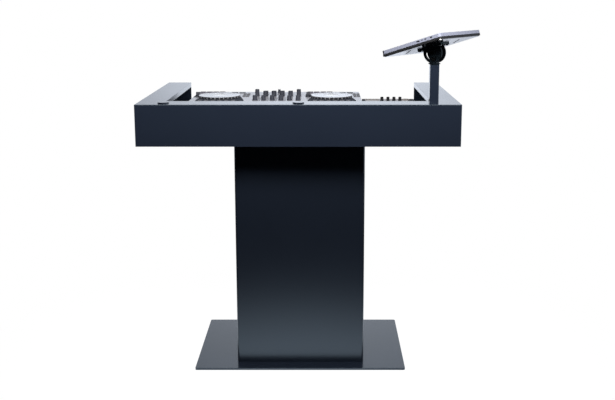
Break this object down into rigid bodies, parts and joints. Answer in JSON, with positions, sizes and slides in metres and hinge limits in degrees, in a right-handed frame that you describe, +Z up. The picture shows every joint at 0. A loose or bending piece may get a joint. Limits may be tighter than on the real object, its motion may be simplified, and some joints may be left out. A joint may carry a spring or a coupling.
{
  "type": "dj booth",
  "caption": "Standing DJ booth: a deep steel tray with a wide rim on a boxed pedestal and floor plate, holding a player console and effects unit, with a tablet on a swivelling, tilting post.",
  "frame": {"origin": "middle of the base plate's underside, on the floor", "axes": "+Z up, -Y towards the audience, +X to the right as the audience sees it"},
  "size_m": [1.2711, 0.8902, 1.3526],
  "materials": {
    "booth_paint": "dark blue-grey semi-gloss powder coat",
    "plain_steel": "zinc plated",
    "head_paint": "satin black",
    "black_plastic": "matte",
    "back_plate": "satin anodised",
    "tablet_metal": "bead blasted",
    "screen_glass": "gloss",
    "console_case": "matte",
    "console_top": "brushed",
    "deck_panel": "satin",
    "jog_white": "satin silver",
    "pad_rubber": "soft",
    "rubber": "soft",
    "control_black": "satin",
    "button": "satin",
    "unit_case": "matte"
  },
  "bodies": {
    "booth": {"base_plate": "booth_paint", "column_shell": "booth_paint", "column_rear_cover": "booth_paint", "column_foot_flange": "plain_steel", "column_head_plate": "plain_steel", "frame_bolts": "plain_steel", "tray_shell": "booth_paint", "tray_floor": "booth_paint", "gear_shelf": "booth_paint", "socket_caps": "black_plastic", "post_tube": "booth_paint", "post_socket": "booth_paint", "post_plug": "head_paint", "console_case": "console_case", "console_feet": "rubber", "console_top": "console_top", "deck_panels": "deck_panel", "pads": "pad_rubber", "display_glass": "screen_glass", "unit_case": "unit_case"},
    "swivel_head": {"head_yoke": "head_paint", "pivot_bolt": "plain_steel", "lock_bolt": "plain_steel"},
    "tablet_holder": {"tilt_bracket": "head_paint", "tablet_back_plate": "back_plate", "tablet_frame": "black_plastic", "tablet_body": "tablet_metal", "tablet_glass": "screen_glass"},
    "jog_wheel_left": {"jog_wheel_left": "jog_white"},
    "jog_wheel_right": {"jog_wheel_right": "jog_white"},
    "channel_fader_1": {"channel_fader_1": "control_black"},
    "channel_fader_2": {"channel_fader_2": "control_black"},
    "channel_fader_3": {"channel_fader_3": "control_black"},
    "channel_fader_4": {"channel_fader_4": "control_black"},
    "crossfader": {"crossfader": "control_black"},
    "tempo_fader_left": {"tempo_fader_left": "control_black"},
    "tempo_fader_right": {"tempo_fader_right": "control_black"},
    "play_button_left": {"play_button_left": "button"},
    "cue_button_left": {"cue_button_left": "button"},
    "play_button_right": {"play_button_right": "button"},
    "cue_button_right": {"cue_button_right": "button"},
    "unit_knob_1": {"unit_knob_1": "control_black"},
    "unit_knob_2": {"unit_knob_2": "control_black"},
    "unit_knob_3": {"unit_knob_3": "control_black"},
    "unit_knob_4": {"unit_knob_4": "control_black"},
    "mixer_knob_near_1": {"mixer_knob_near_1": "control_black"},
    "mixer_knob_far_1": {"mixer_knob_far_1": "control_black"},
    "mixer_knob_near_2": {"mixer_knob_near_2": "control_black"},
    "mixer_knob_far_2": {"mixer_knob_far_2": "control_black"},
    "mixer_knob_near_3": {"mixer_knob_near_3": "control_black"},
    "mixer_knob_far_3": {"mixer_knob_far_3": "control_black"},
    "mixer_knob_near_4": {"mixer_knob_near_4": "control_black"},
    "mixer_knob_far_4": {"mixer_knob_far_4": "control_black"},
    "mixer_knob_near_5": {"mixer_knob_near_5": "control_black"},
    "mixer_knob_far_5": {"mixer_knob_far_5": "control_black"},
    "mixer_knob_near_6": {"mixer_knob_near_6": "control_black"},
    "mixer_knob_far_6": {"mixer_knob_far_6": "control_black"}
  },
  "joints": [
    {"name": "tablet_swivel", "type": "hinge", "parent": "booth", "child": "swivel_head", "pos_m": [0.5, -0.331, 1.23], "axis": [0, 0, 1], "range_deg": [-150, 150]},
    {"name": "tablet_tilt", "type": "hinge", "parent": "swivel_head", "child": "tablet_holder", "pos_m": [0.5, -0.331, 1.2725], "axis": [-0.6211, -0.7837, 0], "range_deg": [-14, 60]},
    {"name": "jog_wheel_left_spin", "type": "hinge", "parent": "booth", "child": "jog_wheel_left", "pos_m": [-0.3392, 0.08, 1.055], "axis": [0, 0, 1], "continuous": true},
    {"name": "jog_wheel_right_spin", "type": "hinge", "parent": "booth", "child": "jog_wheel_right", "pos_m": [0.1268, 0.08, 1.055], "axis": [0, 0, 1], "continuous": true},
    {"name": "channel_fader_1_slide", "type": "slide", "parent": "booth", "child": "channel_fader_1", "axis": [0, 1, 0], "range_m": [-0.03, 0.03]},
    {"name": "channel_fader_2_slide", "type": "slide", "parent": "booth", "child": "channel_fader_2", "axis": [0, 1, 0], "range_m": [-0.03, 0.03]},
    {"name": "channel_fader_3_slide", "type": "slide", "parent": "booth", "child": "channel_fader_3", "axis": [0, 1, 0], "range_m": [-0.03, 0.03]},
    {"name": "channel_fader_4_slide", "type": "slide", "parent": "booth", "child": "channel_fader_4", "axis": [0, 1, 0], "range_m": [-0.03, 0.03]},
    {"name": "crossfader_slide", "type": "slide", "parent": "booth", "child": "crossfader", "axis": [1, 0, 0], "range_m": [-0.022, 0.022]},
    {"name": "tempo_fader_left_slide", "type": "slide", "parent": "booth", "child": "tempo_fader_left", "axis": [0, 1, 0], "range_m": [-0.04, 0.04]},
    {"name": "tempo_fader_right_slide", "type": "slide", "parent": "booth", "child": "tempo_fader_right", "axis": [0, 1, 0], "range_m": [-0.04, 0.04]},
    {"name": "play_button_left_press", "type": "slide", "parent": "booth", "child": "play_button_left", "axis": [0, 0, 1], "range_m": [-0.0015, 0], "stiffness_N_per_m": 400, "springref_m": 0.001},
    {"name": "cue_button_left_press", "type": "slide", "parent": "booth", "child": "cue_button_left", "axis": [0, 0, 1], "range_m": [-0.0015, 0], "stiffness_N_per_m": 400, "springref_m": 0.001},
    {"name": "play_button_right_press", "type": "slide", "parent": "booth", "child": "play_button_right", "axis": [0, 0, 1], "range_m": [-0.0015, 0], "stiffness_N_per_m": 400, "springref_m": 0.001},
    {"name": "cue_button_right_press", "type": "slide", "parent": "booth", "child": "cue_button_right", "axis": [0, 0, 1], "range_m": [-0.0015, 0], "stiffness_N_per_m": 400, "springref_m": 0.001},
    {"name": "unit_knob_1_turn", "type": "hinge", "parent": "booth", "child": "unit_knob_1", "pos_m": [0.327, -0.066, 1.055], "axis": [0, 0, 1], "range_deg": [-140, 140]},
    {"name": "unit_knob_2_turn", "type": "hinge", "parent": "booth", "child": "unit_knob_2", "pos_m": [0.351, -0.066, 1.055], "axis": [0, 0, 1], "range_deg": [-140, 140]},
    {"name": "unit_knob_3_turn", "type": "hinge", "parent": "booth", "child": "unit_knob_3", "pos_m": [0.375, -0.066, 1.055], "axis": [0, 0, 1], "range_deg": [-140, 140]},
    {"name": "unit_knob_4_turn", "type": "hinge", "parent": "booth", "child": "unit_knob_4", "pos_m": [0.399, -0.066, 1.055], "axis": [0, 0, 1], "range_deg": [-140, 140]},
    {"name": "mixer_knob_near_1_turn", "type": "hinge", "parent": "booth", "child": "mixer_knob_near_1", "pos_m": [-0.18531, -0.012, 1.055], "axis": [0, 0, 1], "range_deg": [-140, 140]},
    {"name": "mixer_knob_far_1_turn", "type": "hinge", "parent": "booth", "child": "mixer_knob_far_1", "pos_m": [-0.18531, 0.128, 1.055], "axis": [0, 0, 1], "range_deg": [-140, 140]},
    {"name": "mixer_knob_near_2_turn", "type": "hinge", "parent": "booth", "child": "mixer_knob_near_2", "pos_m": [-0.15031, -0.012, 1.055], "axis": [0, 0, 1], "range_deg": [-140, 140]},
    {"name": "mixer_knob_far_2_turn", "type": "hinge", "parent": "booth", "child": "mixer_knob_far_2", "pos_m": [-0.15031, 0.118, 1.055], "axis": [0, 0, 1], "range_deg": [-140, 140]},
    {"name": "mixer_knob_near_3_turn", "type": "hinge", "parent": "booth", "child": "mixer_knob_near_3", "pos_m": [-0.1153, -0.012, 1.055], "axis": [0, 0, 1], "range_deg": [-140, 140]},
    {"name": "mixer_knob_far_3_turn", "type": "hinge", "parent": "booth", "child": "mixer_knob_far_3", "pos_m": [-0.1153, 0.118, 1.055], "axis": [0, 0, 1], "range_deg": [-140, 140]},
    {"name": "mixer_knob_near_4_turn", "type": "hinge", "parent": "booth", "child": "mixer_knob_near_4", "pos_m": [-0.0803, -0.012, 1.055], "axis": [0, 0, 1], "range_deg": [-140, 140]},
    {"name": "mixer_knob_far_4_turn", "type": "hinge", "parent": "booth", "child": "mixer_knob_far_4", "pos_m": [-0.0803, 0.118, 1.055], "axis": [0, 0, 1], "range_deg": [-140, 140]},
    {"name": "mixer_knob_near_5_turn", "type": "hinge", "parent": "booth", "child": "mixer_knob_near_5", "pos_m": [-0.0453, -0.012, 1.055], "axis": [0, 0, 1], "range_deg": [-140, 140]},
    {"name": "mixer_knob_far_5_turn", "type": "hinge", "parent": "booth", "child": "mixer_knob_far_5", "pos_m": [-0.0453, 0.118, 1.055], "axis": [0, 0, 1], "range_deg": [-140, 140]},
    {"name": "mixer_knob_near_6_turn", "type": "hinge", "parent": "booth", "child": "mixer_knob_near_6", "pos_m": [-0.0103, -0.012, 1.055], "axis": [0, 0, 1], "range_deg": [-140, 140]},
    {"name": "mixer_knob_far_6_turn", "type": "hinge", "parent": "booth", "child": "mixer_knob_far_6", "pos_m": [-0.0103, 0.128, 1.055], "axis": [0, 0, 1], "range_deg": [-140, 140]}
  ]
}
